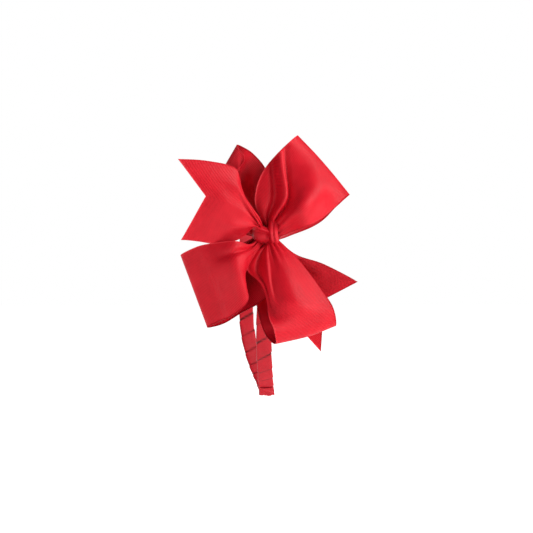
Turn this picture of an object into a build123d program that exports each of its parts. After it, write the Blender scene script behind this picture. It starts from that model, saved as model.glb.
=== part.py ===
from build123d import *
import math
import os

# Grosgrain hair bow on a ribbon-wrapped headband. Units are millimetres.
#
# Frame of the part: the headband stands in the Y-Z plane with its legs down.
# The origin is the centre of the crown's arc, +Z is up towards the crown's top,
# X runs across the band, and the bow sits on the leg at -Y.
#
# Frame of the bow: its origin is beside the middle of the gathered centre. +X is to the right
# and +Z is up for someone who faces the bow, and -Y points at that person.

# ---- driving dimensions: headband ----
CROWN_RADIUS = 62.0        # crown's arc, at the middle of the core's thickness
LEG_DROP = 86.0            # from the crown's centre down to the core's tips
TIP_GAP = 60.0             # between the two tips of the relaxed band
CORE_WIDTH = 10.0
CORE_THICKNESS = 2.0
WRAP_THICKNESS = 0.75      # wound ribbon, where its turns overlap
FLEX_ANGLE = 60.0          # height of the bending places on the crown, in degrees
FLEX_KERF = 0.3            # room between the two sides of a bending place
LEG_STRAIGHT = 30.0        # below the crown's centre, where the legs begin to sweep towards +X
NEAR_TIP_SWEEP = 5.5       # how far each tip is swept out of the band's plane
FAR_TIP_SWEEP = 12.0
TIP_FOLD_LENGTH = 9.0      # ribbon end turned over each tip
TIP_FOLD_THICKNESS = 0.5

# ---- driving dimensions: bow ----
RIBBON_SOLID = 1.2         # thickness of the solids that stand for the wide ribbon
BOW_TURN = -7.0            # turn of the bow about the vertical, in degrees
BOW_X = 0.9                # middle of the bow, across the band
BOW_HEIGHT = 30.0          # middle of the bow above the crown's centre
HUB_RISE = 1.5             # gathered centre above the bow's origin
PINCH_LENGTH = 12.0
PINCH_HEIGHT = 11.0
PINCH_DEPTH = 6.4
THREAD_DIAMETER = 0.6
THREAD_WIDTH = 3.0
STRAP_WIDTH = 9.5          # narrow ribbon of the knot
STRAP_THICKNESS = 0.9
KNOT_WIDTH = 11.5
KNOT_HEIGHT = 13.0
KNOT_DEPTH = 6.0
PAD_THICKNESS = 1.0        # glue between the bow and the band
PAD_SIDE = 8.0
HUB_CLEARANCE = 0.4        # between the gathered centre and the loops and tails

# Loops: middle of the fold, the direction across the ribbon, half of the loop's depth, and the
# outline that it fills, seen from the front. All are in the frame of the bow.
LOOPS = {
    "loop_upper_right": dict(
        fold=(41.7, 22.0, 52.7), across=(37.8, 0.0, -43.1), half_depth=9.0,
        outline=[(22.8, 74.3), (60.6, 31.2), (50.6, 21.5), (41.0, 14.3), (31.0, 9.3), (20.0, 4.5),
                 (7.0, 2.5), (1.2, 10.0), (4.0, 54.0), (12.2, 65.4)]),
    "loop_upper_left": dict(
        fold=(-34.3, 13.0, 44.8), across=(26.9, -20.0, 46.1), half_depth=9.0,
        outline=[(-20.9, 67.9), (-30.5, 54.5), (-47.8, 21.8), (-24.0, 12.0), (-8.5, 6.0),
                 (-1.5, 10.0), (-3.5, 54.0), (-10.2, 61.8)]),
    "loop_lower_left": dict(
        fold=(-52.2, -20.0, -38.7), across=(19.5, -10.0, -52.8), half_depth=9.0,
        outline=[(-62.0, -12.3), (-55.2, -7.8), (-46.5, -5.8), (-34.0, -6.8), (-20.0, -4.0), (-7.0, -1.5),
                 (-2.0, -7.0), (-2.5, -44.0), (-8.0, -49.0), (-22.5, -57.4), (-42.5, -65.1)]),
    "loop_lower_right": dict(
        fold=(30.5, -37.0, -69.5), across=(40.7, 21.0, 9.1), half_depth=9.0,
        outline=[(-0.3, -7.5), (0.7, -30.5), (1.2, -49.0), (2.9, -66.0), (6.5, -76.7), (17.4, -75.8),
                 (27.2, -74.1), (40.9, -69.0), (50.9, -63.6), (48.7, -53.0), (34.1, -26.9),
                 (26.9, -17.4), (17.4, -10.9), (7.0, -5.5)]),
}

# Tails: middle of the cut end, direction across, how far the middle arches out of the straight
# line, and the outline, with the V cut in its end.
TAILS = {
    "tail_front": dict(
        end=(-63.0, -24.0, 28.0), across=(2.4, 0.0, -58.6), arch=2.0, root_depth=-4.5,
        outline=[(-63.8, 57.3), (-43.9, 30.7), (-61.4, -1.3), (-47.2, -2.9), (-34.2, -4.4), (-18.2, 0.7),
                 (-7.0, 6.0), (-1.5, 11.8), (-9.7, 21.8), (-16.3, 32.3), (-19.6, 50.6), (-42.1, 55.7)]),
    "tail_rear": dict(
        end=(53.1, 4.0, -57.3), across=(26.2, 0.0, 51.1), arch=-1.2, root_depth=3.5,
        outline=[(66.2, -31.8), (42.4, -44.5), (40.0, -82.9), (27.2, -74.1), (5.0, -9.5), (7.0, -4.0),
                 (28.3, -14.9), (53.8, -24.7)]),
}

# ---- values worked out from the driving dimensions ----
WRAP_HALF = CORE_THICKNESS / 2 + WRAP_THICKNESS
WRAP_WIDTH = CORE_WIDTH + 2 * WRAP_THICKNESS
MAX_WIDTH = 6 * WRAP_WIDTH
LEG_INSET = CROWN_RADIUS - TIP_GAP / 2
LEG_RADIUS = (LEG_DROP**2 + LEG_INSET**2) / (2 * LEG_INSET)
LEG_SWEEP = math.degrees(math.asin(LEG_DROP / LEG_RADIUS))
HINGE_RADIUS = CROWN_RADIUS + WRAP_HALF
STRAP_DEPTH = PINCH_DEPTH + 2 * THREAD_DIAMETER + 2 * STRAP_THICKNESS
STRAP_HEIGHT = PINCH_HEIGHT + 2 * THREAD_DIAMETER + 2 * STRAP_THICKNESS
HUB_RADIUS = HINGE_RADIUS + PAD_THICKNESS + STRAP_DEPTH / 2
BOW_TILT = math.degrees(math.asin(BOW_HEIGHT / HUB_RADIUS))
HUB_Y = -HUB_RADIUS * math.cos(math.radians(BOW_TILT))

BOW = Location((BOW_X, HUB_Y, BOW_HEIGHT - HUB_RISE), (0, 0, BOW_TURN))
HUB = Location((BOW_X, HUB_Y, BOW_HEIGHT)) * Rotation(-BOW_TILT, 0, 0)


def arc_band(centre, radius, start, sweep, half_thickness, width=MAX_WIDTH):
    """A flat strip bent along an arc in the Y-Z plane, its width centred on the plane."""
    outer = CenterArc(centre, radius + half_thickness, start, sweep)
    inner = CenterArc(centre, radius - half_thickness, start, sweep)
    ends = [Line(outer @ 0, inner @ 0), Line(outer @ 1, inner @ 1)]
    section = make_face([outer, inner] + ends)
    return extrude(Plane.YZ * section, width / 2, both=True)


def crown_top(half_thickness, width):
    """Part of the crown between the two bending places."""
    kerf_angle = math.degrees(FLEX_KERF / 2 / CROWN_RADIUS)
    start = FLEX_ANGLE + kerf_angle
    return arc_band((0, 0), CROWN_RADIUS, start, 180 - 2 * start, half_thickness, width)


def swept_strip(width, tip_sweep):
    """Front view of a side of the band: straight, then an arc that carries the tip towards +X."""
    drop = LEG_DROP - LEG_STRAIGHT
    radius = (drop**2 + tip_sweep**2) / (2 * tip_sweep)
    angle = math.degrees(math.asin(1.2 * drop / radius))
    centre = (radius, -LEG_STRAIGHT)
    top = 2 * CROWN_RADIUS
    left_arc = CenterArc(centre, radius + width / 2, 180, angle)
    right_arc = CenterArc(centre, radius - width / 2, 180, angle)
    left = Line((-width / 2, top), left_arc @ 0)
    right = Line((width / 2, top), right_arc @ 0)
    ends = [Line(left @ 0, right @ 0), Line(left_arc @ 1, right_arc @ 1)]
    front = Plane.XZ * make_face([left_arc, right_arc, left, right] + ends)
    return extrude(front, 2 * CROWN_RADIUS, both=True)


def band_side(half_thickness, width, tip_sweep, extra_length=0.0):
    """Side of the band at -Y: the crown's end and the leg below it, as one strip."""
    kerf_angle = math.degrees(FLEX_KERF / 2 / CROWN_RADIUS)
    shoulder = arc_band((0, 0), CROWN_RADIUS, 180, kerf_angle - FLEX_ANGLE, half_thickness)
    leg_centre = (LEG_RADIUS - CROWN_RADIUS, 0)
    sweep = LEG_SWEEP + math.degrees(extra_length / LEG_RADIUS)
    leg = arc_band(leg_centre, LEG_RADIUS, 180, sweep, half_thickness)
    return (shoulder + leg) & swept_strip(width, tip_sweep)


def leg_end(half_thickness, width, tip_sweep, length, extra_length):
    """The last stretch of the leg at -Y."""
    leg_centre = (LEG_RADIUS - CROWN_RADIUS, 0)
    start = 180 + LEG_SWEEP - math.degrees(length / LEG_RADIUS)
    sweep = math.degrees((length + extra_length) / LEG_RADIUS)
    return arc_band(leg_centre, LEG_RADIUS, start, sweep, half_thickness) & swept_strip(width, tip_sweep)


def to_far_side(shape):
    return mirror(shape, Plane.XZ)


def core_side(tip_sweep):
    """Plastic strip inside one side of the band."""
    return band_side(CORE_THICKNESS / 2, CORE_WIDTH, tip_sweep)


def wrap_side(tip_sweep):
    """Wound ribbon around one side of the core, closed over the tip."""
    outside = band_side(WRAP_HALF, WRAP_WIDTH, tip_sweep, WRAP_THICKNESS)
    return outside - core_side(tip_sweep)


def wrap_top():
    return crown_top(WRAP_HALF, WRAP_WIDTH) - crown_top(CORE_THICKNESS / 2, CORE_WIDTH)


def tip_fold(tip_sweep):
    """Cap of folded ribbon over one tip."""
    half = WRAP_HALF + TIP_FOLD_THICKNESS
    width = WRAP_WIDTH + 2 * TIP_FOLD_THICKNESS
    end = WRAP_THICKNESS + TIP_FOLD_THICKNESS
    cap = leg_end(half, width, tip_sweep, TIP_FOLD_LENGTH, end)
    leg = leg_end(WRAP_HALF, WRAP_WIDTH, tip_sweep, TIP_FOLD_LENGTH, WRAP_THICKNESS)
    return cap - leg


def hub_tube(length, height, depth):
    """Rod of oval section along X, around the middle of the gathered centre."""
    section = Plane.YZ * Ellipse(depth / 2, height / 2)
    return extrude(section, length / 2, both=True)


def pinch_pleats():
    """The stack of pleats, pressed together where the bow is gathered."""
    return HUB * hub_tube(PINCH_LENGTH, PINCH_HEIGHT, PINCH_DEPTH)


def binding_thread():
    """Wound thread that holds the pleats together."""
    height = PINCH_HEIGHT + 2 * THREAD_DIAMETER
    depth = PINCH_DEPTH + 2 * THREAD_DIAMETER
    ring = hub_tube(THREAD_WIDTH, height, depth) - hub_tube(THREAD_WIDTH, PINCH_HEIGHT, PINCH_DEPTH)
    return HUB * ring


def knot_strap():
    """Narrow ribbon that runs round the gathered centre."""
    outside = hub_tube(STRAP_WIDTH, STRAP_HEIGHT, STRAP_DEPTH)
    inside_height = STRAP_HEIGHT - 2 * STRAP_THICKNESS
    inside_depth = STRAP_DEPTH - 2 * STRAP_THICKNESS
    return HUB * (outside - hub_tube(STRAP_WIDTH, inside_height, inside_depth))


def knot():
    """The overhand knot in front of the strap, as one rounded lump."""
    lump = scale(Sphere(1.0), (KNOT_WIDTH / 2, KNOT_DEPTH, KNOT_HEIGHT / 2))
    lump = Pos(0, -STRAP_DEPTH / 2, 0) * lump
    room = hub_tube(2 * KNOT_WIDTH, STRAP_HEIGHT, STRAP_DEPTH)
    behind = Pos(0, KNOT_DEPTH, 0) * Box(4 * KNOT_WIDTH, 2 * KNOT_DEPTH, 4 * KNOT_HEIGHT)
    return HUB * (lump - room - behind)


def glue_pad():
    """Glue that fills the space between the strap's back and the wrapped band."""
    block = HUB * (Pos(0, STRAP_DEPTH / 4 + PAD_THICKNESS, 0)
                   * Box(PAD_SIDE, STRAP_DEPTH / 2 + 2 * PAD_THICKNESS, PAD_SIDE))
    strap = HUB * hub_tube(4 * PAD_SIDE, STRAP_HEIGHT, STRAP_DEPTH)
    band = arc_band((0, 0), CROWN_RADIUS, 180, -FLEX_ANGLE, WRAP_HALF)
    return block - strap - band


def ribbon_plane(tip, across, root_depth=0.0):
    """Plane along a loop or tail, and its length: X runs outwards, Z across the ribbon."""
    root = Vector(0, root_depth, HUB_RISE)
    across = Vector(*across).normalized()
    reach = Vector(*tip) - root
    reach = reach - across * reach.dot(across)
    return Plane(origin=root, x_dir=reach, z_dir=across), reach.length


def outline_prism(outline):
    """Everything that lies behind or in front of an outline, with room for the gathered centre."""
    front = Plane(origin=(0, 0, 0), x_dir=(1, 0, 0), z_dir=(0, -1, 0))
    prism = extrude(front * Polygon(*outline, align=None), 120, both=True)
    half_length = PINCH_LENGTH / 2 + HUB_CLEARANCE
    half_height = STRAP_HEIGHT / 2 + HUB_CLEARANCE
    keep_out = Pos(0, 0, HUB_RISE) * Box(2 * half_length, 240, 2 * half_height)
    return prism - keep_out


def teardrop(apex, centre, radius):
    """Outline of a loop seen along its folds: a round end with two straight sides to a point."""
    slope = math.asin(radius / (centre - apex))
    touch_x = centre - radius * math.sin(slope)
    touch_y = radius * math.cos(slope)
    sides = Polygon((apex, 0), (touch_x, -touch_y), (touch_x, touch_y), align=None)
    return sides + Pos(centre, 0) * Circle(radius)


def loop_solid(fold, across, half_depth, outline):
    """A hollow loop, open at both edges of the ribbon, trimmed to its outline."""
    plane, length = ribbon_plane(fold, across)
    lean = math.asin(plane.x_dir.Y)
    centre = length - half_depth / math.cos(lean)
    inner_apex = RIBBON_SOLID * centre / half_depth
    profile = teardrop(0, centre, half_depth) - teardrop(inner_apex, centre, half_depth - RIBBON_SOLID)
    band = extrude(plane * profile, 80, both=True)
    return BOW * (band & outline_prism(outline))


def tail_solid(end, across, arch, root_depth, outline):
    """A single curved layer of ribbon, trimmed to its outline with the V cut."""
    plane, length = ribbon_plane(end, across, root_depth)
    reach = 1.3 * length
    half = RIBBON_SOLID / 2
    front = ThreePointArc((0, half), (length / 2, arch + half), (reach, half - arch))
    back = ThreePointArc((0, -half), (length / 2, arch - half), (reach, -half - arch))
    profile = make_face([front, back, Line(front @ 0, back @ 0), Line(front @ 1, back @ 1)])
    strip = extrude(plane * profile, 80, both=True)
    return BOW * (strip & outline_prism(outline))


def all_nodes():
    nodes = {
        "core_top": crown_top(CORE_THICKNESS / 2, CORE_WIDTH),
        "core_near_side": core_side(NEAR_TIP_SWEEP),
        "core_far_side": to_far_side(core_side(FAR_TIP_SWEEP)),
        "wrap_top": wrap_top(),
        "wrap_near_side": wrap_side(NEAR_TIP_SWEEP),
        "wrap_far_side": to_far_side(wrap_side(FAR_TIP_SWEEP)),
        "tip_fold_near": tip_fold(NEAR_TIP_SWEEP),
        "tip_fold_far": to_far_side(tip_fold(FAR_TIP_SWEEP)),
        "pinch_pleats": pinch_pleats(),
        "binding_thread": binding_thread(),
        "knot_strap": knot_strap(),
        "knot": knot(),
        "glue_pad": glue_pad(),
    }
    for name, loop in LOOPS.items():
        nodes[name] = loop_solid(**loop)
    for name, tail in TAILS.items():
        nodes[name] = tail_solid(**tail)
    return nodes


os.makedirs("parts", exist_ok=True)
NODES = all_nodes()
for name, shape in NODES.items():
    shape.label = name
    export_step(shape, f"parts/{name}.step")
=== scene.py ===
"""Looks of the grosgrain hair bow on its wrapped headband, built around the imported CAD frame.

The bow's points are written in millimetres as (right, depth, up) seen by someone who faces the bow:
right and up are where a point appears in the plane of the bow's middle, and depth is how far it
lies behind that plane.
"""

import math

import bpy
import numpy as np
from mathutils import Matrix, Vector


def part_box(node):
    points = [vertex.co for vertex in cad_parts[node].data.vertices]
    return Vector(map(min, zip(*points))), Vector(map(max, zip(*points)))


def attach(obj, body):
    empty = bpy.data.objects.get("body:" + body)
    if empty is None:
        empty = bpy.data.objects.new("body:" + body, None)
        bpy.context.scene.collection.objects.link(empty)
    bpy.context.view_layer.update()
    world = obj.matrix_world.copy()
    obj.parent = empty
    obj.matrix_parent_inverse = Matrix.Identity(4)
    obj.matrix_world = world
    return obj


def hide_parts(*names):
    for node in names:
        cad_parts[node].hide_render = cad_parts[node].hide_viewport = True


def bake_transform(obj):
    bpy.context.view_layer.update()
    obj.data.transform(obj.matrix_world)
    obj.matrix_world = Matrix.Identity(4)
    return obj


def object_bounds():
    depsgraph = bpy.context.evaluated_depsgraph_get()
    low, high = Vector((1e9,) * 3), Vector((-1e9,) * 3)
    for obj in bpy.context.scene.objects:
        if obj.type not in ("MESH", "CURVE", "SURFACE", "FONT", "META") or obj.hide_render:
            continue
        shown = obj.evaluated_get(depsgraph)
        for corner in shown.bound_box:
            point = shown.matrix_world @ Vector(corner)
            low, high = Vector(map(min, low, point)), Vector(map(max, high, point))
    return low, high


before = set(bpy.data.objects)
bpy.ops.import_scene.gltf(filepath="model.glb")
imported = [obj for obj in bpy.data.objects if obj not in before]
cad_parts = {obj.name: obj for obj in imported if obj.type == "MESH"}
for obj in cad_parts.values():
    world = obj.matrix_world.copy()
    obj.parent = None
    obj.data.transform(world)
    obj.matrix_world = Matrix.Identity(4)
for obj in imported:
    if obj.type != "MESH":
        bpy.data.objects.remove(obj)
CAD_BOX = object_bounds()
MM = 0.001

# ---- where the bow and the camera are ----
BOW_TURN = math.radians(-7.0)
HUB_RISE = 1.5
CAMERA_DISTANCE = 1300.0
CAMERA_RIGHT = 0.4
CAMERA_UP = -20.7
LENS = 120.8
SENSOR = 36.0

hub_low, hub_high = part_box("pinch_pleats")
HUB = np.array((hub_low + hub_high) / 2) / MM
BOW_ORIGIN = HUB - np.array([0.0, 0.0, HUB_RISE])
BOW_RIGHT = np.array([math.cos(BOW_TURN), math.sin(BOW_TURN), 0.0])
BOW_DEPTH = np.array([-math.sin(BOW_TURN), math.cos(BOW_TURN), 0.0])
UP = np.array([0.0, 0.0, 1.0])

# ---- ribbon ----
RIBBON_WIDTH = 57.0
RIBBON_THICKNESS = 0.45
RIB_PITCH = 0.95
ROWS_PER_LAYER = 44
TAIL_ROWS = 52
COLUMNS = 41
THREAD_PITCH = 0.42
THREAD_HEIGHT = 0.12          # against a rib's height of 1
NARROW_RIB_PITCH = 0.8
HUB_HALF_HEIGHT = 4.6         # where the ribbons are pinched under the knot
HUB_HALF_GAP = 1.5
HUB_LEAN = 0.48

# ---- pleats: shares of a layer's length, and heights in millimetres ----
PLEAT_AT_KNOT = 0.3           # share of its height that a pleat has at the knot
PLEAT_OPENING = 0.2
PLEAT_FADE = 0.35
PLEAT_REACH = 0.45
FAN_FOLDS = 5
FAN_START = 0.08
FAN_REACH = 0.1
FRONT_GATHER = 0.6
BACK_GATHER = 2.5

# ---- how the cloth eases, and where it bends ----
RELAX_STEPS = 100
STIFFNESS = 0.23
THREAD_PULL = 0.45            # share of a thread's error that one step takes out
EASE = 0.6                    # how far a free layer may go to its cut size
EASE_FADE = 0.4
BOUND_SHARE = 0.6             # share of the pleats' reach over which nothing eases
BACK_REACH = 0.4              # the pleats' reach on back layers and tails, where easing is counted
HOLD_FREE = 0.03              # how firmly a row or an edge stays at its start: 1 is fixed
HOLD_SELVAGE = 0.05
HOLD_NEAR_FOLD = 0.3
NEAR_FOLD_ROWS = 6
HOLD_FOLD = 0.9
FOLD_ROWS = 3
HOLD_CUT_END = 0.3
HOLD_ROOT = 0.6
ROOT_ROWS = 4
REAR_LAYER = 3.0              # the layer at the knot that lies nearest the headband
LAYER_ROOM = 0.45
BAND_CLEARANCE = 0.5
CLEARANCE_SHARPNESS = 2.0
BESIDE_MARGIN = 1.0
BESIDE_SLOPE = 1.5

# ---- headband, in millimetres ----
CROWN_RADIUS = 62.0
LEG_DROP = 86.0
TIP_GAP = 60.0
LEG_STRAIGHT = 30.0
TIP_SWEEPS = {"near": 5.5, "far": 12.0}
BAND_HALF_WIDTH = 5.35
BAND_HALF_THICKNESS = 1.25
SECTION_POWERS = (0.4, 0.55)  # below 1 they square off the band's section, across and through
WRAP_STEP = 0.5
WRAP_PITCH = 14.0
WRAP_PITCH_AT_TIP = 7.5
WRAP_TIGHTENS = (34.0, 20.0)  # its pitch changes from this far before the tip, over this length
WRAP_ROW = 0.5
WRAP_COLUMNS = 36
WRAP_PAST_TIP = 0.3
LAP_UNEVEN = 0.05             # shares of a turn
LAP_RISE = 0.045
LAP_FALL = 0.9
# painted shade: how far, as shares of a turn, the dark line reaches after and before each overlapping
# edge
PAINTED_SHADE_AFTER_EDGE = 0.05
PAINTED_SHADE_BEFORE_EDGE = 0.035
TIP_CLOSING = (1.5, 1.9)      # the tip rounds off from this far before it, as an arc of this length
CLOSED_TIP = 0.02

LEG_INSET = CROWN_RADIUS - TIP_GAP / 2
LEG_RADIUS = (LEG_DROP**2 + LEG_INSET**2) / (2 * LEG_INSET)
LEG_SWEEP = math.asin(LEG_DROP / LEG_RADIUS)
QUARTER = CROWN_RADIUS * math.pi / 2
SIDE_LENGTH = QUARTER + LEG_RADIUS * LEG_SWEEP


def seen_at(points):
    """Bow frame points of what appears at (right, up) when it lies at that depth."""
    p = np.asarray(points, float)
    eye = np.array([CAMERA_RIGHT, 0.0, CAMERA_UP])
    scale = 1 + p[..., 1:2] / CAMERA_DISTANCE
    flat = p * [1, 0, 1]
    return eye + (flat - eye) * scale + p * [0, 1, 0]


def bow_to_frame(points):
    """Metres in the CAD frame, from millimetres in the bow's frame."""
    p = np.asarray(points, float)
    placed = BOW_ORIGIN + p[..., 0:1] * BOW_RIGHT + p[..., 1:2] * BOW_DEPTH + p[..., 2:3] * UP
    return placed * MM


# ---------------------------------------------------------------- curves and sheets
def hermite(knots, values, wanted):
    """Smooth values at the wanted places, through the given values at the knots."""
    slopes = np.gradient(values, knots, axis=0)
    i = np.clip(np.searchsorted(knots, wanted, "right") - 1, 0, len(knots) - 2)
    extra = (slice(None),) + (None,) * (values.ndim - 1)
    span = (knots[i + 1] - knots[i])[extra]
    f = (wanted - knots[i])[extra] / span
    return (
        (2 * f**3 - 3 * f**2 + 1) * values[i]
        + (f**3 - 2 * f**2 + f) * span * slopes[i]
        + (3 * f**2 - 2 * f**3) * values[i + 1]
        + (f**3 - f**2) * span * slopes[i + 1]
    )


def smooth_curve(points, count, bend=None):
    """Evenly spaced points on a smooth curve through the given ones: count of them, or count on each
    side of the given point numbered bend, which both sides share."""
    p = np.asarray(points, float)
    steps = np.linalg.norm(np.diff(p, axis=0), axis=1)
    knots = np.concatenate([[0.0], np.cumsum(np.sqrt(steps))])
    fine = np.linspace(0, knots[-1], 32 * count)
    curve = hermite(knots, p, fine)
    along = np.concatenate([[0.0], np.cumsum(np.linalg.norm(np.diff(curve, axis=0), axis=1))])
    wanted = np.linspace(0, along[-1], count)
    if bend is not None:
        middle = np.interp(knots[bend], fine, along)
        beyond = np.linspace(middle, along[-1], count)[1:]
        wanted = np.concatenate([np.linspace(0, middle, count), beyond])
    return np.stack([np.interp(wanted, along, curve[:, k]) for k in range(3)], axis=1)


def smooth_step(x):
    x = np.clip(x, 0, 1)
    return x * x * (3 - 2 * x)


def pleat_heights(pleats, rows, gather, reach=PLEAT_REACH):
    """Height of the pleats over one layer. Each pleat is (its places across at the gathered centre,
    halfway and at the fold, its half width, its height): shares of half the ribbon, height in mm."""
    s = np.linspace(0, 1, rows)[:, None]
    v = np.linspace(-1, 1, COLUMNS)[None]
    height = np.zeros((rows, COLUMNS))
    for (at_hub, halfway, at_fold), half_width, rise in pleats:
        centre = at_hub * (1 - s) * (1 - 2 * s) + halfway * 4 * s * (1 - s) + at_fold * s * (2 * s - 1)
        height += rise * np.exp(-(((v - centre) / half_width) ** 2))
    open_up = PLEAT_AT_KNOT + (1 - PLEAT_AT_KNOT) * smooth_step(s / PLEAT_OPENING)
    fade = 1 - smooth_step((s - reach) / PLEAT_FADE)
    fan_fade = 1 - smooth_step((s - FAN_REACH) / PLEAT_FADE)
    fan = gather * np.cos(FAN_FOLDS * math.pi * v) * smooth_step(s / FAN_START) * fan_fade
    return height * open_up * fade + fan


def grid_normals(points):
    along = np.gradient(points, axis=0)
    across = np.gradient(points, axis=1)
    normal = np.cross(along, across)
    return normal / np.maximum(np.linalg.norm(normal, axis=-1, keepdims=True), 1e-9)


def link_pairs(shape):
    """Index pairs of the cloth's threads: along, across and on both diagonals, each with its parity."""
    rows, columns = shape
    every = np.arange(rows * columns).reshape(shape)
    pairs = []
    for start in (0, 1):
        pairs.append((every[start:-1:2], every[start + 1::2]))
        pairs.append((every[:, start:-1:2], every[:, start + 1::2]))
        pairs.append((every[start:-1:2, :-1], every[start + 1::2, 1:]))
        pairs.append((every[start:-1:2, 1:], every[start + 1::2, :-1]))
    trimmed = []
    for a, b in pairs:
        n = min(a.shape[0], b.shape[0])
        m = min(a.shape[1], b.shape[1])
        trimmed.append((a[:n, :m].ravel(), b[:n, :m].ravel()))
    return trimmed


def relax(points, flat, hold, loose):
    """Eases a ribbon until its threads have their real lengths, while hold ties it to its start.
    Where loose is 0 the threads keep the lengths that they start with, as where they are bound."""
    shape = points.shape[:2]
    p = points.reshape(-1, 3).copy()
    start = p.copy()
    hold = hold.reshape(-1, 1)
    cut = flat.reshape(-1, 2)
    links = []
    loose = loose.reshape(-1)
    for a, b in link_pairs(shape):
        cut_length = np.linalg.norm(cut[a] - cut[b], axis=1)
        laid_length = np.linalg.norm(start[a] - start[b], axis=1)
        rest = laid_length + (cut_length - laid_length) * np.minimum(loose[a], loose[b])
        links.append((a, b, rest))
    for _ in range(RELAX_STEPS):
        change = (p - start).reshape(*shape, 3)
        smooth = change.copy()
        smooth[1:-1] += STIFFNESS * (change[:-2] + change[2:] - 2 * change[1:-1])
        smooth[:, 1:-1] += STIFFNESS * (change[:, :-2] + change[:, 2:] - 2 * change[:, 1:-1])
        p = start + smooth.reshape(-1, 3) * (1 - hold)
        for a, b, rest in links:
            d = p[b] - p[a]
            long = np.maximum(np.linalg.norm(d, axis=1), 1e-9)
            move = (THREAD_PULL * (long - rest) / long)[:, None] * d
            p[a] += move * (1 - hold[a])
            p[b] -= move * (1 - hold[b])
    return p.reshape(*shape, 3)


def sheet_mesh(name, points, flat, thickness):
    """A thin closed sheet around a grid of points in metres, with its flat cut as its UV map."""
    rows, columns = points.shape[:2]
    normal = grid_normals(points)
    half = thickness * MM / 2
    front = (points + normal * half).reshape(-1, 3)
    back = (points - normal * half).reshape(-1, 3)
    count = rows * columns
    index = np.arange(count).reshape(rows, columns)
    corners = [index[:-1, :-1], index[1:, :-1], index[1:, 1:], index[:-1, 1:]]
    quads = np.stack(corners, axis=-1).reshape(-1, 4)
    rim = np.concatenate([index[0, :], index[1:, -1], index[-1, -2::-1], index[-2:0:-1, 0]])
    after = np.roll(rim, -1)
    edge = np.stack([rim, after, after + count, rim + count], axis=1)
    faces = np.concatenate([quads, quads[:, ::-1] + count, edge[:, ::-1]])
    mesh = bpy.data.meshes.new(name)
    mesh.from_pydata(np.concatenate([front, back]).tolist(), [], faces.tolist())
    uv = mesh.uv_layers.new(name="cut")
    cut = np.concatenate([flat.reshape(-1, 2)] * 2) / 100.0
    loops = np.zeros(len(mesh.loops), np.int32)
    mesh.loops.foreach_get("vertex_index", loops)
    uv.data.foreach_set("uv", cut[loops].astype(np.float32).ravel())
    mesh.shade_smooth()
    mesh.update()
    piece = bpy.data.objects.new(name, mesh)
    bpy.context.scene.collection.objects.link(piece)
    return piece


# ---------------------------------------------------------------- ribbons of the bow
def hub_point(side, layer, spread):
    """Where a column of a ribbon is pinched: spread goes from -1 at the bottom to 1 at the top."""
    rise = HUB_HALF_HEIGHT * spread
    return np.array([HUB_HALF_GAP * side, layer + HUB_LEAN * rise, HUB_RISE + rise])


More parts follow.
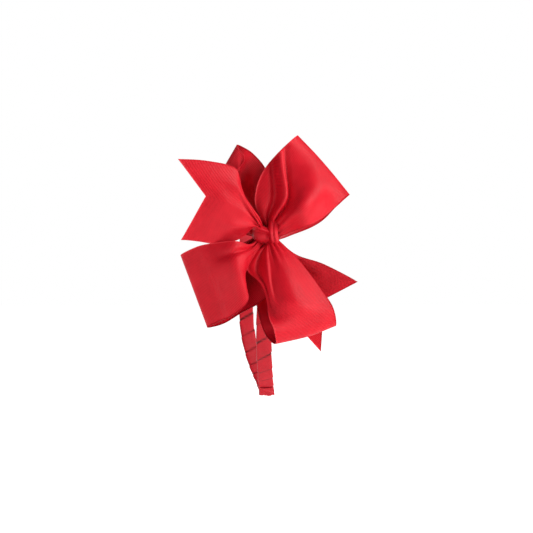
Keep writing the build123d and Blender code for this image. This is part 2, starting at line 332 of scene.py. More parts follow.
# Each rail is one line along the ribbon, at its place across it (-1 and 1 are the selvages), from the
# gathered centre to the fold. front and back hold the points between them on the two layers, and fold
# has the crest at places -1, 0 and 1. nose is how far before the crest the fold begins, and half its
# depth there. side is 1 to the right of the knot, and top is 1 where the last rail leaves it highest.
# A layer number is the depth at which that layer is pinched, and reach is the share of the front layer
# over which its pleats run.
LOOPS = {
    "loop_upper_right": dict(
        fold=[(22.8, 22, 74.3), (42.4, 22, 53.6), (60.6, 22, 31.2)], side=1, top=-1, nose=(10, 11),
        places=(-1, -0.3, 0.35, 1),
        front=[[(-7.5, 0, 24), (-6.5, 3, 38.5), (0.9, 9, 54)],
               [(8, -3, 17), (15.5, -3, 27), (21.5, -1, 42)],
               [(15, -9, 13), (26, -15, 23), (37, -8, 33)],
               [(17, -4, 4), (31, -10, 9.3), (46, 4, 18)]],
        back=[[(3, 14, 28), (9, 29, 56)],
              [(9, 15, 21), (20, 31, 46)],
              [(15, 13, 12), (33, 30, 28)],
              [(18, 8, 2), (40, 25, 12)]],
        front_pleats=[((-0.48, -0.58, -2.0), 0.1, 5), ((-0.66, -0.76, -2.2), 0.08, -4),
                      ((-0.32, -0.42, -1.8), 0.06, -2.5)],
        back_pleats=[((-0.3, -0.3, -0.3), 0.2, -4), ((0.4, 0.4, 0.4), 0.2, 4)],
        front_layer=-0.8, back_layer=0.2, reach=0.6),
    "loop_upper_left": dict(
        fold=[(-47.8, 23, 21.8), (-34.3, 13, 44.8), (-20.9, 3, 67.9)], side=-1, top=1, nose=(5, 5),
        places=(-1, 0, 1),
        front=[[(-16, 4, 4), (-34, 12, 14)],
               [(-12, -1, 16), (-26, 0, 33)],
               [(-10, -3, 20), (-20, 0, 40), (-19.5, 2, 51), (-15.5, 0, 58.5)]],
        back=[[(-16, 12, 3), (-34, 22, 12)],
              [(-9, 9, 20), (-21, 20, 36)],
              [(-1, 8, 28), (-0.5, 15, 50), (-9, 15, 61)]],
        front_pleats=[((0.3, 0.3, 0.3), 0.2, 4)],
        back_pleats=[((0.5, 0.5, 0.5), 0.2, 4), ((-0.2, -0.2, -0.2), 0.2, -4)],
        front_layer=0.8, back_layer=1.6, reach=0.4),
    "loop_lower_left": dict(
        fold=[(-42.5, -19, -65.1), (-52.2, -14, -38.7), (-62.0, -9, -12.3)], side=-1, top=1, nose=(12, 9),
        places=(-1, 0, 1),
        front=[[(-8.7, -13, -13), (-15.3, -26, -28), (-13.5, -33, -47), (-26, -31, -58.2)],
               [(-8, -13, -8), (-21, -34, -19), (-36, -26, -29.5)],
               [(-10, -11, -4), (-22, -26, -3.2), (-39, -20, -4.4)]],
        back=[[(0, -9, -22), (0.5, -16, -43), (-20, -20, -56.5)],
              [(-13, 1, -13), (-32, -7, -30)],
              [(-18, 2, -4), (-42, -4, -7)]],
        front_pleats=[((0.55, 0.52, 0.5), 0.16, -3)],
        back_pleats=[((-0.3, -0.3, -0.3), 0.2, -4), ((0.4, 0.4, 0.4), 0.2, 4)],
        front_layer=-2.0, back_layer=-1.2, reach=0.4),
    "loop_lower_right": dict(
        fold=[(7.3, -47, -76.7), (30.0, -37, -71.5), (50.9, -27, -63.6)], side=1, top=1, nose=(9, 8),
        places=(-1, -0.6, 0.1, 1),
        front=[[(-9, -12, -13), (-13.5, -19, -23), (-3, -28, -33.5), (1.5, -36, -45), (3, -43, -57)],
               [(-0.5, -17, -15), (2, -32, -34), (8, -43, -53)],
               [(11, -24, -18), (22, -42, -46)],
               [(22, -13, -14), (40, -24, -37)]],
        back=[[(-4, -5, -26), (-6.5, -9, -46), (-3, -28, -62)],
              [(0, -5, -22), (4, -10, -46), (6, -30, -62)],
              [(8, -6, -18), (19, -22, -44)],
              [(20, -7, -15), (38, -15, -37)]],
        front_pleats=[((-0.58, -0.58, -0.58), 0.08, 3), ((-0.76, -0.76, -0.76), 0.07, -3)],
        back_pleats=[((-0.3, -0.3, -0.3), 0.2, -4), ((0.4, 0.4, 0.4), 0.2, 4)],
        front_layer=-2.6, back_layer=-1.9, reach=0.4),
}

# A tail has one layer. Its rails are at places -1, 0 and 1, and end has the lower tip, the notch and
# the upper tip of its swallowtail cut.
TAILS = {
    "tail_front": dict(
        end=[(-61.4, -24, -1.3), (-43.9, -24, 30.7), (-63.8, -24, 57.3)], side=-1, top=1,
        rails=[[(-7, -9, 8), (-18.2, -14, 0.2), (-34, -19, -4.5), (-48, -22, -3)],
               [(-8, -13, 12), (-28, -23, 25)],
               [(-4.5, -9, 14.5), (-9.7, -11, 21.8), (-16.3, -12, 32.3),
                (-19.3, -12.5, 43), (-21.5, -13.5, 51), (-42, -19, 55.9)]],
        pleats=[((0.45, 0.52, 0.6), 0.2, 3), ((-0.5, -0.5, -0.5), 0.2, 2)],
        layer=-3.2, gather=1.5),
    "tail_rear": dict(
        end=[(40.0, 4, -82.9), (42.4, 4, -44.5), (66.2, 4, -31.8)], side=1, top=1,
        rails=[[(9, 3, -30), (24, 4, -63)],
               [(13, 4, -13), (28, 5, -31)],
               [(22, 4, -12.5), (42, 5, -20.5)]],
        pleats=[((-0.3, -0.3, -0.3), 0.2, -4), ((0.4, 0.4, 0.4), 0.2, -3)],
        layer=3.0, gather=4.0),
}


def spread(rails, places):
    """Fills the ribbon's width between its rails."""
    by_place = np.array(rails)
    return hermite(np.array(places, float), by_place, np.linspace(-1, 1, COLUMNS)).transpose(1, 0, 2)


def fold_points(shape):
    """The fold's rails: before it on the front layer, on it, and after it on the back layer."""
    corners = seen_at(shape["fold"])
    crest = hermite(np.array([-1.0, 0.0, 1.0]), corners, np.array(shape["places"], float))
    across = corners[2] - corners[0]
    across /= np.linalg.norm(across)
    outwards = corners[1] - np.array([0, 0, HUB_RISE])
    outwards -= across * outwards.dot(across)
    outwards /= np.linalg.norm(outwards)
    forwards = np.cross(across, outwards)
    forwards *= -np.sign(forwards[1])
    length, depth = shape["nose"]
    before = crest - outwards * length + forwards * depth
    after = crest - outwards * length - forwards * depth
    return before, crest, after, forwards


def free_share(rows, reach):
    """How far a layer may ease to its cut size: not at all where it is bound, more beyond its pleats."""
    return EASE * smooth_step((np.linspace(0, 1, rows) - BOUND_SHARE * reach) / EASE_FADE)


def clear_of_band(sheet, layers):
    """Keeps a ribbon in front of the headband that it passes, each row by its layer at the knot."""
    placed = bow_to_frame(sheet) / MM
    room = BAND_HALF_THICKNESS + WRAP_STEP + BAND_CLEARANCE
    room = room + LAYER_ROOM * (REAR_LAYER - layers[:, None])
    z = placed[..., 2]
    on_crown = -np.sqrt(np.clip((CROWN_RADIUS + room) ** 2 - z**2, 0, None))
    on_leg = LEG_RADIUS - CROWN_RADIUS - np.sqrt(np.clip((LEG_RADIUS + room) ** 2 - z**2, 0, None))
    beside = np.clip(np.abs(placed[..., 0]) - BAND_HALF_WIDTH - BESIDE_MARGIN, 0, None)
    limit = np.where(z > 0, on_crown, on_leg) + BESIDE_SLOPE * beside
    sharp = CLEARANCE_SHARPNESS
    cleared = -np.logaddexp(-sharp * placed[..., 1], -sharp * limit) / sharp
    moved = sheet.copy()
    moved[..., 1] += cleared - placed[..., 1]
    return moved


def finish_ribbon(name, sheet, flat, hold, loose, layers):
    """Eases the ribbon with its bound end held at the knot, keeps it clear of the headband, and makes its
    mesh in place of its CAD part.
    """
    sheet = relax(sheet, flat, hold, loose)
    sheet = clear_of_band(sheet, layers)
    piece = sheet_mesh(name + "_cloth", bow_to_frame(sheet), flat, RIBBON_THICKNESS)
    outwards = sheet.reshape(-1, 3).mean(axis=0) - [0, 0, HUB_RISE]
    outwards /= np.linalg.norm(outwards)
    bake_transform(piece)
    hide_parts(name)
    return piece


def held_at(sheet):
    """How firmly each point is held: its bound rows fast, its selvages and its middle barely."""
    hold = np.full(sheet.shape[:2], HOLD_FREE)
    hold[:, [0, -1]] = HOLD_SELVAGE
    hold[:ROOT_ROWS] = HOLD_ROOT
    hold[0] = 1.0
    return hold


def loop_sheet(shape):
    """Points of a loop: out along its front layer, over the fold and home along its back layer."""
    before, crest, after, forwards = fold_points(shape)
    half = ROWS_PER_LAYER
    rails = []
    for k, place in enumerate(shape["places"]):
        front_root = hub_point(shape["side"], shape["front_layer"], place * shape["top"])
        back_root = hub_point(shape["side"], shape["back_layer"], place * shape["top"])
        points = [front_root] + list(seen_at(shape["front"][k])) + [before[k], crest[k], after[k]]
        crest_number = len(points) - 2
        points += list(seen_at(shape["back"][k]))[::-1] + [back_root]
        rails.append(smooth_curve(points, half, crest_number))
    sheet = spread(rails, shape["places"])
    front_pleats = pleat_heights(shape["front_pleats"], half, FRONT_GATHER, shape["reach"])
    back_pleats = pleat_heights(shape["back_pleats"], half, BACK_GATHER)[::-1]
    sheet[:half] += front_pleats[..., None] * forwards
    sheet[half - 1:] += back_pleats[..., None] * forwards
    return sheet


def loop_cut(sheet):
    """The flat cut of a loop and its length: each layer is as long as its threads are on average."""
    half = ROWS_PER_LAYER
    steps = np.linalg.norm(np.diff(sheet, axis=0), axis=2)
    front_length = steps[:half - 1].sum(axis=0).mean()
    back_length = steps[half - 1:].sum(axis=0).mean()
    length = float(front_length + back_length)
    along_back = np.linspace(front_length, length, half)[1:]
    along = np.concatenate([np.linspace(0, front_length, half), along_back])
    across = np.linspace(-0.5, 0.5, COLUMNS) * RIBBON_WIDTH
    return np.stack(np.meshgrid(along, across, indexing="ij"), axis=-1), length


def loop_hold(sheet):
    """As held_at, with both ends bound and the fold kept in its place."""
    hold = held_at(sheet)
    from_fold = np.abs(np.arange(len(sheet)) - ROWS_PER_LAYER + 1)
    hold[from_fold < NEAR_FOLD_ROWS] = HOLD_NEAR_FOLD
    hold[from_fold < FOLD_ROWS] = HOLD_FOLD
    hold[-ROOT_ROWS:] = HOLD_ROOT
    hold[-1] = 1.0
    return hold


def make_loop(name, shape):
    sheet = loop_sheet(shape)
    flat, length = loop_cut(sheet)
    front_free = free_share(ROWS_PER_LAYER, shape["reach"])
    back_free = free_share(ROWS_PER_LAYER, BACK_REACH)[::-1]
    loose = np.concatenate([front_free, back_free[1:]])[:, None] * np.ones((1, COLUMNS))
    layers = np.repeat([shape["front_layer"], shape["back_layer"]], [ROWS_PER_LAYER, ROWS_PER_LAYER - 1])
    piece = finish_ribbon(name, sheet, flat, loop_hold(sheet), loose, layers)
    return piece


def tail_sheet(shape):
    """Points of a tail, from the knot to its swallowtail cut."""
    end = seen_at(shape["end"])
    places = (-1, 0, 1)
    rails = []
    for k, place in enumerate(places):
        root = hub_point(shape["side"], shape["layer"], place * shape["top"])
        rails.append(smooth_curve([root] + list(seen_at(shape["rails"][k])) + [end[k]], TAIL_ROWS))
    sheet = spread(rails, places)
    v = np.linspace(-1, 1, COLUMNS)[:, None]
    s = np.linspace(0, 1, TAIL_ROWS)[:, None, None]
    lower = end[1] + (end[0] - end[1]) * np.abs(v)
    upper = end[1] + (end[2] - end[1]) * np.abs(v)
    cut_edge = np.where(v < 0, lower, upper)
    sheet = sheet + s**3 * (cut_edge - sheet[-1])
    heights = pleat_heights(shape["pleats"], TAIL_ROWS, shape["gather"])
    return sheet + heights[..., None] * np.array([0.0, -1.0, 0.0])


def make_tail(name, shape):
    sheet = tail_sheet(shape)
    lengths = np.linalg.norm(np.diff(sheet, axis=0), axis=2).sum(axis=0)
    tips = float(lengths[0] + lengths[-1]) / 2
    notch = float(lengths[COLUMNS // 2])
    v = np.linspace(-1, 1, COLUMNS)
    cut = notch + (tips - notch) * np.abs(v)
    u = np.linspace(0, 1, TAIL_ROWS)[:, None] * cut[None]
    flat = np.stack([u, np.broadcast_to(v * RIBBON_WIDTH / 2, u.shape)], axis=-1)
    hold = held_at(sheet)
    hold[-2:] = HOLD_CUT_END
    loose = free_share(TAIL_ROWS, BACK_REACH)[:, None] * np.ones((1, COLUMNS))
    piece = finish_ribbon(name, sheet, flat, hold, loose, np.full(TAIL_ROWS, shape["layer"]))
    return piece


# ---------------------------------------------------------------- materials
def node_material(name):
    material = bpy.data.materials.new(name)
    material.use_nodes = True
    nodes = material.node_tree.nodes
    nodes.clear()
    shader = nodes.new("ShaderNodeBsdfPrincipled")
    output = nodes.new("ShaderNodeOutputMaterial")
    material.node_tree.links.new(shader.outputs["BSDF"], output.inputs["Surface"])
    return material, material.node_tree, shader


def math_node(tree, operation, a, b=None, c=None):
    node = tree.nodes.new("ShaderNodeMath")
    node.operation = operation
    for k, value in enumerate((a, b, c)):
        if value is None:
            continue
        if hasattr(value, "is_linked"):
            tree.links.new(value, node.inputs[k])
        else:
            node.inputs[k].default_value = value
    return node.outputs[0]


def colour_ramp(tree, factor, stops):
    ramp = tree.nodes.new("ShaderNodeValToRGB")
    tree.links.new(factor, ramp.inputs["Fac"])
    ramp.color_ramp.elements[0].position = stops[0][0]
    ramp.color_ramp.elements[0].color = (*stops[0][1], 1)
    ramp.color_ramp.elements[1].position = stops[-1][0]
    ramp.color_ramp.elements[1].color = (*stops[-1][1], 1)
    for position, colour in stops[1:-1]:
        ramp.color_ramp.elements.new(position).color = (*colour, 1)
    return ramp.outputs["Color"]


def object_noise(tree, scale, detail):
    noise = tree.nodes.new("ShaderNodeTexNoise")
    noise.inputs["Scale"].default_value = scale
    noise.inputs["Detail"].default_value = detail
    coordinates = tree.nodes.new("ShaderNodeTexCoord")
    tree.links.new(coordinates.outputs["Object"], noise.inputs["Vector"])
    return noise.outputs["Fac"]


def add_bump(tree, shader, height, strength, distance):
    bump = tree.nodes.new("ShaderNodeBump")
    bump.inputs["Strength"].default_value = strength
    bump.inputs["Distance"].default_value = distance
    tree.links.new(height, bump.inputs["Height"])
    tree.links.new(bump.outputs["Normal"], shader.inputs["Normal"])


def mix_painted_crevice_shade(tree, colour, painted_crevice_shade_colour):
    """Mixes in the mesh's painted shade attribute: a dark line painted under each overlapping edge,
    standing in for the shade there.
    """
    painted_crevice_shade = tree.nodes.new("ShaderNodeAttribute")
    painted_crevice_shade.attribute_name = "painted_crevice_shade"
    shade = tree.nodes.new("ShaderNodeMix")
    shade.data_type = "RGBA"
    tree.links.new(painted_crevice_shade.outputs["Fac"], shade.inputs["Factor"])
    tree.links.new(colour, shade.inputs["A"])
    shade.inputs["B"].default_value = (*painted_crevice_shade_colour, 1)
    return shade.outputs["Result"]


def woven(tree, coordinate, pitch):
    """A sine along a coordinate of the flat cut, whose unit is 100 mm, with the pitch in millimetres."""
    return math_node(tree, "SINE", math_node(tree, "MULTIPLY", coordinate, 2 * math.pi * 100 / pitch))


def grosgrain(name, rib_pitch, deep, middle, light, painted_crevice_shade_colour=None):
    """Ribbed ribbon: ribs across its width and fine threads along it, from dark to light red: the colour
    is random mottling plus painted shade, darker in the grooves between the ribs.
    """
    material, tree, shader = node_material(name)
    uv = tree.nodes.new("ShaderNodeUVMap")
    uv.uv_map = "cut"
    split = tree.nodes.new("ShaderNodeSeparateXYZ")
    tree.links.new(uv.outputs["UV"], split.inputs["Vector"])
    rib = math_node(tree, "MULTIPLY_ADD", woven(tree, split.outputs["X"], rib_pitch), 0.5, 0.5)
    threads = woven(tree, split.outputs["Y"], THREAD_PITCH)
    weave = math_node(tree, "MULTIPLY_ADD", threads, THREAD_HEIGHT, rib)
    noise = object_noise(tree, 90.0, 4.0)
    # painted shade: the colour darkens in the grooves between the ribs, on top of random mottling
    tone_and_rib_shade = math_node(tree, "MULTIPLY_ADD", noise, 0.5, math_node(tree, "MULTIPLY", rib, 0.5))
    colour = colour_ramp(tree, tone_and_rib_shade, [(0.15, deep), (0.5, middle), (0.85, light)])
    # painted shade along each overlapping edge, where the mesh carries it
    if painted_crevice_shade_colour:
        colour = mix_painted_crevice_shade(tree, colour, painted_crevice_shade_colour)
    tree.links.new(colour, shader.inputs["Base Color"])
    rough = math_node(tree, "MULTIPLY_ADD", noise, 0.15, 0.36)
    tree.links.new(rough, shader.inputs["Roughness"])
    add_bump(tree, shader, weave, 0.5, 0.0002)
    shader.inputs["Sheen Weight"].default_value = 0.03
    shader.inputs["Sheen Roughness"].default_value = 0.4
    shader.inputs["Sheen Tint"].default_value = (1.0, 0.25, 0.3, 1)
    shader.inputs["Specular IOR Level"].default_value = 0.2
    return material


def plain_material(name, dark, light, noise_scale, roughness, bump_distance):
    """Mottled colour with a fine grain, for the parts that are hardly seen."""
    material, tree, shader = node_material(name)
    noise = object_noise(tree, noise_scale, 5.0)
    colour = colour_ramp(tree, noise, [(0.3, dark), (0.7, light)])
    tree.links.new(colour, shader.inputs["Base Color"])
    rough = math_node(tree, "MULTIPLY_ADD", noise, 0.2, roughness)
    tree.links.new(rough, shader.inputs["Roughness"])
    add_bump(tree, shader, noise, 0.6, bump_distance)
    return material, shader


# ---------------------------------------------------------------- headband
def band_frame(s, tip_sweep):
    """Centre line of a side of the band at the distance s from the crown's top, with its outward side."""
    on_crown = s < QUARTER
    crown_angle = s / CROWN_RADIUS
    leg_angle = (s - QUARTER) / LEG_RADIUS
    y = np.where(on_crown, -CROWN_RADIUS * np.sin(crown_angle),
                 LEG_RADIUS - CROWN_RADIUS - LEG_RADIUS * np.cos(leg_angle))
    z = np.where(on_crown, CROWN_RADIUS * np.cos(crown_angle), -LEG_RADIUS * np.sin(leg_angle))
    out_y = np.where(on_crown, -np.sin(crown_angle), -np.cos(leg_angle))
    out_z = np.where(on_crown, np.cos(crown_angle), -np.sin(leg_angle))
    drop = LEG_DROP - LEG_STRAIGHT
    radius = (drop**2 + tip_sweep**2) / (2 * tip_sweep)
    below = np.clip(-LEG_STRAIGHT - z, 0, drop * 1.05)
    x = radius - np.sqrt(radius**2 - below**2)
    zero = np.zeros_like(y)
    return np.stack([x, y, z], axis=-1), np.stack([zero, out_y, out_z], axis=-1)


def turns_at(s):
    """Number of turns of the wound ribbon between the crown's top and s: closer near the tips."""
    fine = np.linspace(0, SIDE_LENGTH, 400)
    before_tip, over = WRAP_TIGHTENS
    near_tip = smooth_step((fine - (SIDE_LENGTH - before_tip)) / over)
    pitch = WRAP_PITCH + (WRAP_PITCH_AT_TIP - WRAP_PITCH) * near_tip
    counted = np.concatenate([[0.0], np.cumsum(np.diff(fine) / pitch[1:])])
    return np.interp(s, fine, counted)


def section(angle):
    """Rounded oblong of the band's cross-section, 1 by 1, at an angle round it."""
    c, n = np.cos(angle), np.sin(angle)
    across, through = SECTION_POWERS
    return np.sign(c) * np.abs(c) ** across, np.sign(n) * np.abs(n) ** through


def girth_share(angles):
    """Share of the way round the band's surface at each angle of its section."""
    across, through = section(angles)
    steps = np.hypot(np.diff(across) * BAND_HALF_WIDTH, np.diff(through) * BAND_HALF_THICKNESS)
    travelled = np.concatenate([[0.0], np.cumsum(steps)])
    return travelled / travelled[-1]


def turn_part(s, angle, around, sign):
    """How far each point lies through its own turn of the ribbon: 0 at one edge and 1 at the other."""
    turn = -sign * turns_at(s) + around[None]
    number = np.floor(turn)
    uneven = LAP_UNEVEN * np.sin(number * 2.4) * np.sin(angle + number)
    return np.clip(turn - number + uneven, 0, 1)


def wound_surface(s, angle, part, side):
    """Points in millimetres of the ribbon wound round one side of the band, rounded off at the tip."""
    centre, out = band_frame(s[:, 0], TIP_SWEEPS[side])
    lap = WRAP_STEP * smooth_step(part / LAP_RISE) * (1 - LAP_FALL * part)
    before_tip, arc = TIP_CLOSING
    close = np.sqrt(np.clip(1 - ((s - (SIDE_LENGTH - before_tip)) / arc).clip(0, 1) ** 2, CLOSED_TIP, 1))
    across, through = section(angle)
    wide = (BAND_HALF_WIDTH + lap) * across * close
    thick = (BAND_HALF_THICKNESS + lap) * through * close
    return centre[:, None] + wide[..., None] * np.array([1.0, 0, 0]) + thick[..., None] * out[:, None]


def tube_mesh(name, place, flipped):
    """A tube through rows of points in millimetres, closed at its last row."""
    index = np.arange(place.shape[0] * place.shape[1]).reshape(place.shape[:2])
    right = np.roll(index, -1, axis=1)
    quads = np.stack([index[:-1], right[:-1], right[1:], index[1:]], axis=-1).reshape(-1, 4)
    cap = index[-1, ::-1]
    if flipped:
        quads = quads[:, ::-1]
        cap = index[-1]
    mesh = bpy.data.meshes.new(name)
    mesh.from_pydata((place * MM).reshape(-1, 3).tolist(), [], quads.tolist() + [cap.tolist()])
    return mesh


def lay_wrap_uv(mesh, s, around, sign):
    """The wound ribbon's UV map: its ribs lean with the turns."""
    uv = mesh.uv_layers.new(name="cut")
    girth = 4 * (BAND_HALF_WIDTH + BAND_HALF_THICKNESS)
    loops = np.zeros(len(mesh.loops), np.int32)
    mesh.loops.foreach_get("vertex_index", loops)
    turn_of = around[loops % WRAP_COLUMNS]
    # A face at the seam has its later corner at the end of the turn and the other at the start, so the
    # ribs smear over the two columns of faces beside it, a half millimetre each, at the band's edge.
    late_corner = np.arange(len(loops)) % 4 >= 2
    turn_of = np.where(late_corner & (turn_of == 0), 1.0, turn_of)
    lean = WRAP_PITCH / girth
    along_band = s[loops // WRAP_COLUMNS, 0]
    uv_u = turn_of * girth - sign * lean * along_band
    uv_v = along_band + sign * lean * turn_of * girth
    uv.data.foreach_set("uv", np.stack([uv_u, uv_v], axis=1).astype(np.float32).ravel() / 100)


def store_painted_crevice_shade(mesh, part):
    """Painted shade: the dark line on both sides of each overlapping edge, which the wrap's material
    mixes into its colour.
    """
    painted_crevice_shade = np.exp(-((part / PAINTED_SHADE_AFTER_EDGE) ** 2)) + np.exp(-(((1 - part) / PAINTED_SHADE_BEFORE_EDGE) ** 2))
    shade = mesh.attributes.new("painted_crevice_shade", "FLOAT", "POINT")
    shade.data.foreach_set("value", np.clip(painted_crevice_shade, 0, 1).astype(np.float32).ravel())


def make_wrap(side, sign):
    """Half of the wound ribbon: overlapping slanting turns, from the crown's top to one tip."""
    rows = int(SIDE_LENGTH / WRAP_ROW) + 1
    s = np.linspace(0, SIDE_LENGTH + WRAP_PAST_TIP, rows)[:, None]
    angle = np.linspace(0, 2 * math.pi, WRAP_COLUMNS + 1)[None]
    around = girth_share(angle[0])
    part = turn_part(s, angle, around, sign)
    place = wound_surface(s, angle, part, side) * [1, sign, 1]
    mesh = tube_mesh(f"wrap_{side}_cloth", place[:, :-1], sign < 0)
    lay_wrap_uv(mesh, s, around, sign)
    # painted shade along the overlapping edges of the turns
    store_painted_crevice_shade(mesh, part[:, :-1])
    mesh.shade_smooth()
    piece = bpy.data.objects.new(mesh.name, mesh)
    bpy.context.scene.collection.objects.link(piece)
    return piece


TIP_FOLD_ROWS = 34
TIP_FOLD_COLUMNS = 15
TIP_FOLD_REACH = 8.0
TIP_FOLD_PAST_TIP = 0.6
TIP_FOLD_HALF_WIDTH = BAND_HALF_WIDTH + 0.5
TIP_FOLD_LIFT = BAND_HALF_THICKNESS + WRAP_STEP + 0.35 + 0.25
TIP_FOLD_THICKNESS = 0.35
TIP_FOLD_TAPER = 0.9
TIP_FOLD_CURL = 0.5
TIP_FOLD_DROP = 0.9
TIP_BEND = 0.2                # share of the fold's half length that goes round the tip
TIP_FLAT = 0.12


def make_tip_fold(side, sign):
    """The ribbon's cut end, doubled over the tip and creased."""
    t = np.linspace(-1, 1, TIP_FOLD_ROWS)
    v = np.linspace(-1, 1, TIP_FOLD_COLUMNS)
    s = SIDE_LENGTH + TIP_FOLD_PAST_TIP - TIP_FOLD_REACH * np.clip(np.abs(t) - TIP_FLAT, 0, 1)
    centre, out = band_frame(s, TIP_SWEEPS[side])
    bend = np.clip(t / TIP_BEND, -1, 1) * math.pi / 2
    half_width = TIP_FOLD_HALF_WIDTH - TIP_FOLD_TAPER * np.abs(t)
    crease = 0.35 * np.sin(9 * t[:, None] + 3 * v[None]) + 0.25 * np.sin(17 * v[None] - 5 * t[:, None])
    curl = TIP_FOLD_CURL * np.abs(v[None]) ** 3
    lift = TIP_FOLD_LIFT + crease - curl
    down = TIP_FOLD_DROP * np.cos(bend)[:, None] * (1 + 0.35 * np.sin(6 * v))
    place = centre[:, None] + (half_width[:, None] * v[None])[..., None] * np.array([1.0, 0, 0])
    place = place + (lift * np.sin(bend)[:, None])[..., None] * out[:, None]
    place = place - down[..., None] * np.array([0, 0, 1.0])
    place = place * [1, sign, 1]
    steps = np.linalg.norm(np.diff(place[:, TIP_FOLD_COLUMNS // 2], axis=0), axis=1)
    u = np.concatenate([[0.0], np.cumsum(steps)])
    flat = np.stack(np.meshgrid(u, v * TIP_FOLD_HALF_WIDTH, indexing="ij"), axis=-1)
    return sheet_mesh(f"tip_fold_{side}_cloth", place * MM, flat, TIP_FOLD_THICKNESS), float(u[-1])


# ---------------------------------------------------------------- knot
STRIP_ROWS = 40
STRIP_COLUMNS = 25
STRIP_THICKNESS = 0.5
RING_ROWS = 73
RING_COLUMNS = 21
RING_THICKNESS = 0.4
RING_WAIST = 0.05             # share by which its edges stand wider than its middle
RING_SPIRAL = 0.5             # how far it climbs over itself in one turn


def strip(name, rails):
    """A narrow ribbon through its rails, which are evenly spaced from one edge to the other."""
    lines = [smooth_curve(seen_at(rail), STRIP_ROWS) for rail in rails]
    places = np.linspace(-1, 1, len(lines))
    v = np.linspace(-1, 1, STRIP_COLUMNS)
    grid = hermite(places, np.array(lines), v).transpose(1, 0, 2)
    length = np.linalg.norm(np.diff(lines[len(lines) // 2], axis=0), axis=1).sum()
    width = np.linalg.norm(np.diff(grid[STRIP_ROWS // 2], axis=0), axis=1).sum()
    u = np.linspace(0, length, STRIP_ROWS)
    flat = np.stack(np.meshgrid(u, v * width / 2, indexing="ij"), axis=-1)
    piece = sheet_mesh(name, bow_to_frame(grid), flat, STRIP_THICKNESS)
    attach(piece, "near_side")
    return piece


# Rails of the knot's two pieces. The lobe's run out to the left, the lowest first, and the band's run
# down over the knot, the leftmost first.
KNOT_LOBE = [
    [(3.2, -6.2, -2.4), (-1.0, -7.4, -3.1), (-5.6, -6.8, -2.9), (-8.0, -4.0, -2.0), (-7.0, 0.5, -1.0)],
    [(3.0, -8.0, -0.9), (-1.5, -9.4, -1.3), (-6.5, -8.6, -0.9), (-9.0, -5.0, 0.2), (-8.0, 0.5, 0.8)],
    [(2.6, -8.2, 1.5), (-1.2, -9.8, 1.8), (-6.2, -9.0, 2.6), (-9.4, -5.2, 3.4), (-8.4, 1.0, 3.2)],
    [(2.9, -7.6, 3.0), (-1.0, -9.2, 3.9), (-5.8, -8.7, 5.4), (-9.3, -5.4, 6.4), (-8.0, 1.8, 5.5)],
    [(3.0, -9.6, 4.2), (-0.8, -11.6, 5.5), (-5.4, -11.2, 7.4), (-9.4, -7.6, 8.9), (-8.2, 2.0, 7.0)],
    [(3.4, -6.5, 5.6), (0.0, -6.4, 7.6), (-4.6, -5.8, 9.4), (-8.2, -2.8, 10.0), (-6.8, 2.6, 7.8)],
]
KNOT_BAND = [
    [(3.0, 1.0, 15.0), (2.2, -4.0, 10.5), (1.8, -7.6, 6.0),
     (2.2, -8.2, 1.5), (3.2, -7.2, -2.5), (5.4, -4.0, -6.0)],
    [(4.2, -1.0, 15.0), (3.6, -6.4, 10.5), (3.2, -10.3, 6.0),
     (3.5, -11.0, 1.5), (4.4, -10.0, -2.8), (6.6, -5.6, -6.6)],
    [(5.8, -0.4, 15.0), (5.4, -5.8, 10.5), (5.1, -9.8, 6.0),
     (5.4, -10.4, 1.5), (6.2, -9.6, -2.8), (8.2, -5.4, -7.0)],
    [(7.2, -0.8, 14.5), (7.1, -6.0, 10.2), (6.8, -10.2, 6.0),
     (7.1, -10.8, 1.5), (8.0, -9.8, -2.8), (9.6, -5.2, -7.2)],
    [(8.6, 0.5, 13.5), (8.8, -4.2, 10.0), (8.4, -7.6, 6.0),
     (8.8, -8.2, 1.5), (9.6, -7.2, -3.0), (10.8, -3.8, -7.2)],
]


def hub_ring(name, half_height, half_depth, half_width, fold_depth, fold_count, start, sweep):
    """A ribbon or bundle of pleats round the gathered centre, in the hub's tilted frame."""
    tilt = math.atan2(-HUB[1], HUB[2]) - math.pi / 2
    turn = np.linspace(start, start + sweep, RING_ROWS)[:, None]
    v = np.linspace(-1, 1, RING_COLUMNS)[None]
    folds = fold_depth * np.cos(fold_count * turn)
    waist = 1 + RING_WAIST * v**2
    spiral = RING_SPIRAL * (turn - start) / (2 * math.pi)
    depth = (half_depth + folds + spiral) * np.cos(turn) * waist
    height = (half_height + folds + spiral) * np.sin(turn) * waist
    x = np.broadcast_to(half_width * v, depth.shape)
    back = depth * math.cos(tilt) - height * math.sin(tilt)
    rise = depth * math.sin(tilt) + height * math.cos(tilt)
    place = (HUB + np.stack([x, back, rise], axis=-1)) * MM
    girth = np.linalg.norm(np.diff(place[:, RING_COLUMNS // 2], axis=0), axis=1).sum() / MM
    u = np.linspace(0, girth, RING_ROWS)
    flat = np.stack(np.meshgrid(u, v[0] * half_width, indexing="ij"), axis=-1)
    piece = sheet_mesh(name, place, flat, RING_THICKNESS)
    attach(piece, "near_side")
    return piece


# ---------------------------------------------------------------- build
WIDE = grosgrain("wide_grosgrain_red", RIB_PITCH,
                 deep=(0.4, 0.0, 0.008), middle=(0.6, 0.004, 0.014), light=(0.72, 0.01, 0.025))
NARROW = grosgrain("narrow_grosgrain_red", NARROW_RIB_PITCH,
                   deep=(0.42, 0.0, 0.01), middle=(0.62, 0.006, 0.018), light=(0.74, 0.014, 0.03))
# the wrap's dark crevice colour is painted shade along the overlapping edges of its turns
WRAP = grosgrain("wrap_grosgrain_red", NARROW_RIB_PITCH,
                 deep=(0.3, 0.001, 0.008), middle=(0.46, 0.006, 0.016), light=(0.58, 0.014, 0.026),
                 painted_crevice_shade_colour=(0.1, 0.0, 0.002))

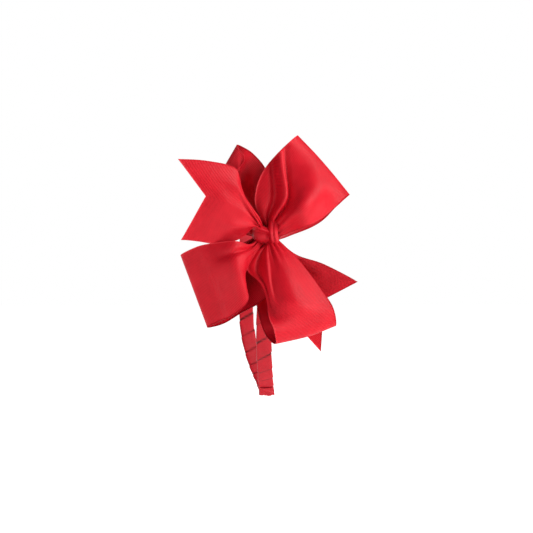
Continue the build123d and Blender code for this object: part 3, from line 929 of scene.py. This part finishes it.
for loop_name, loop_shape in LOOPS.items():
    make_loop(loop_name, loop_shape).data.materials.append(WIDE)
for tail_name, tail_shape in TAILS.items():
    make_tail(tail_name, tail_shape).data.materials.append(WIDE)

for side_name, side_sign in (("near", 1), ("far", -1)):
    wrap = make_wrap(side_name, side_sign)
    wrap.data.materials.append(WRAP)
    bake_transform(wrap)
    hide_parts(f"wrap_{side_name}_side", "wrap_top")
    tip, tip_length = make_tip_fold(side_name, side_sign)
    tip.data.materials.append(WRAP)
    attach(tip, f"{side_name}_side")
    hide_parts(f"tip_fold_{side_name}")

lobe = strip("knot_lobe", KNOT_LOBE)
band = strip("knot_band", KNOT_BAND)
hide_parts("knot")
for part in (lobe, band):
    part.data.materials.append(NARROW)
strap = hub_ring("knot_strap_cloth", half_height=6.6, half_depth=4.2, half_width=4.75,
                 fold_depth=0.0, fold_count=1, start=-0.6, sweep=2 * math.pi + 0.3)
strap.data.materials.append(NARROW)
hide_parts("knot_strap")
pinch = hub_ring("pinch_cloth", half_height=4.9, half_depth=2.7, half_width=6.0,
                 fold_depth=0.35, fold_count=9, start=0.0, sweep=2 * math.pi)
pinch.data.materials.append(WIDE)
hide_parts("pinch_pleats")

core, _ = plain_material("core_plastic", dark=(0.2, 0.005, 0.01), light=(0.3, 0.01, 0.015),
                         noise_scale=300, roughness=0.35, bump_distance=0.0001)
thread, _ = plain_material("binding_thread_red", dark=(0.3, 0.004, 0.01), light=(0.5, 0.01, 0.02),
                           noise_scale=900, roughness=0.6, bump_distance=0.0002)
glue, glue_shader = plain_material("hot_melt_glue", dark=(0.72, 0.68, 0.58), light=(0.85, 0.82, 0.74),
                                   noise_scale=120, roughness=0.25, bump_distance=0.0003)
glue_shader.inputs["Subsurface Weight"].default_value = 0.4
glue_shader.inputs["Subsurface Scale"].default_value = 0.002
KEPT_NODES = {"core_top": core, "core_near_side": core, "core_far_side": core, "binding_thread": thread,
              "glue_pad": glue}
for node, material in KEPT_NODES.items():
    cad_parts[node].data.materials.clear()
    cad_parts[node].data.materials.append(material)


# ---------------------------------------------------------------- stage
SURROUND_LIGHT = 0.14
FLOOR_SIZE = 6.0
FLOOR_GAP = 0.0005
FLOOR_GLOW = 0.92


def make_stage():
    bpy.ops.mesh.primitive_plane_add(size=FLOOR_SIZE, location=(0, 0, CAD_BOX[0][2] - FLOOR_GAP))
    floor = bpy.context.object
    floor.name = "floor"
    material, _, shader = node_material("floor_white")
    shader.inputs["Base Color"].default_value = (0.9, 0.9, 0.9, 1)
    shader.inputs["Roughness"].default_value = 0.8
    shader.inputs["Emission Color"].default_value = (1, 1, 1, 1)
    shader.inputs["Emission Strength"].default_value = FLOOR_GLOW
    floor.data.materials.append(material)
    world = bpy.data.worlds.new("studio")
    world.use_nodes = True
    tree = world.node_tree
    background = tree.nodes["Background"]
    background.inputs["Color"].default_value = (1, 1, 1, 1)
    path = tree.nodes.new("ShaderNodeLightPath")
    seen = path.outputs["Is Camera Ray"]
    strength = math_node(tree, "MULTIPLY_ADD", seen, 1 - SURROUND_LIGHT, SURROUND_LIGHT)
    tree.links.new(strength, background.inputs["Strength"])
    bpy.context.scene.world = world


def add_light(name, place, target, size, power):
    data = bpy.data.lights.new(name, "AREA")
    data.size = size
    data.energy = power
    light = bpy.data.objects.new(name, data)
    light.location = place
    direction = Vector(target) - Vector(place)
    light.rotation_euler = direction.to_track_quat("-Z", "Y").to_euler()
    bpy.context.scene.collection.objects.link(light)


def add_camera():
    data = bpy.data.cameras.new("camera")
    data.lens = LENS
    data.sensor_width = SENSOR
    data.clip_end = 20
    camera = bpy.data.objects.new("camera", data)
    camera.location = bow_to_frame([CAMERA_RIGHT, -CAMERA_DISTANCE, CAMERA_UP])
    camera.rotation_euler = Vector(BOW_DEPTH).to_track_quat("-Z", "Y").to_euler()
    bpy.context.scene.collection.objects.link(camera)
    bpy.context.scene.camera = camera


bpy.context.scene.view_settings.view_transform = "Standard"
make_stage()
bow_middle = bow_to_frame([0, 0, 0])
add_light("key", bow_to_frame([1000, -300, 680]), bow_middle, size=0.45, power=17)
add_light("fill", bow_to_frame([-500, -900, 300]), bow_middle, size=0.8, power=1.8)
add_camera()
